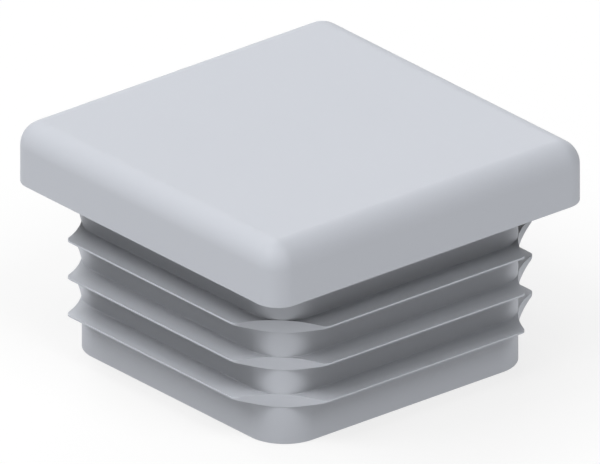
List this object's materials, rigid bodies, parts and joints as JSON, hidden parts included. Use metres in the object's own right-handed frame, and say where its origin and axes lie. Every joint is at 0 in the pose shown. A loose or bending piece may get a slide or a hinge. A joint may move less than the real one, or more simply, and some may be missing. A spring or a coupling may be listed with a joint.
{
  "type": "square tube end cap",
  "caption": "Push-in end cap for square tube: rounded square head over a hollow ribbed shank that grips the tube's inside wall.",
  "frame": {"origin": "centre of the shank's open bottom end", "axes": "+Z along the cap's axis from the open end to the flat head, +X and +Y square to the sides"},
  "size_m": [0.04, 0.04, 0.0237],
  "materials": {
    "light_grey_plastic": "fine even matt moulded surface"
  },
  "bodies": {
    "root": {"end_cap": "light_grey_plastic"}
  },
  "joints": []
}
